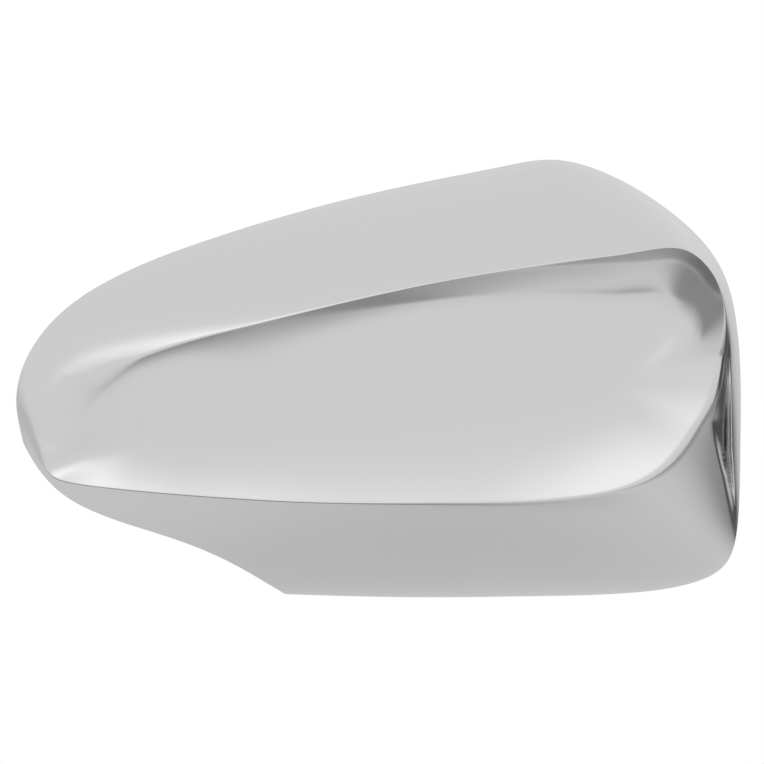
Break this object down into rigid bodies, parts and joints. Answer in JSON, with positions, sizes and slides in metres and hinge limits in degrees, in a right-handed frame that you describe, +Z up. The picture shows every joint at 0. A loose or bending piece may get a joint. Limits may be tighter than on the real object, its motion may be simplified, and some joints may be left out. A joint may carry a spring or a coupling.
{
  "type": "wing mirror cover",
  "caption": "Chrome-plated wing mirror cover: a moulded shell with a hooded scoop, an outboard flange and an arm cut-out, snapped on to the mirror housing by hooks and pegs.",
  "frame": {"origin": "centre of the datum peg's shoulder, behind the outboard end of the scoop", "axes": "+X outboard, +Y rearwards towards the mirror housing, +Z up"},
  "size_m": [0.2405, 0.0717, 0.1453],
  "materials": {
    "chrome_plating": "bright chrome plating on moulded plastic"
  },
  "bodies": {
    "root": {"mirror_cover": "chrome_plating"}
  },
  "joints": []
}
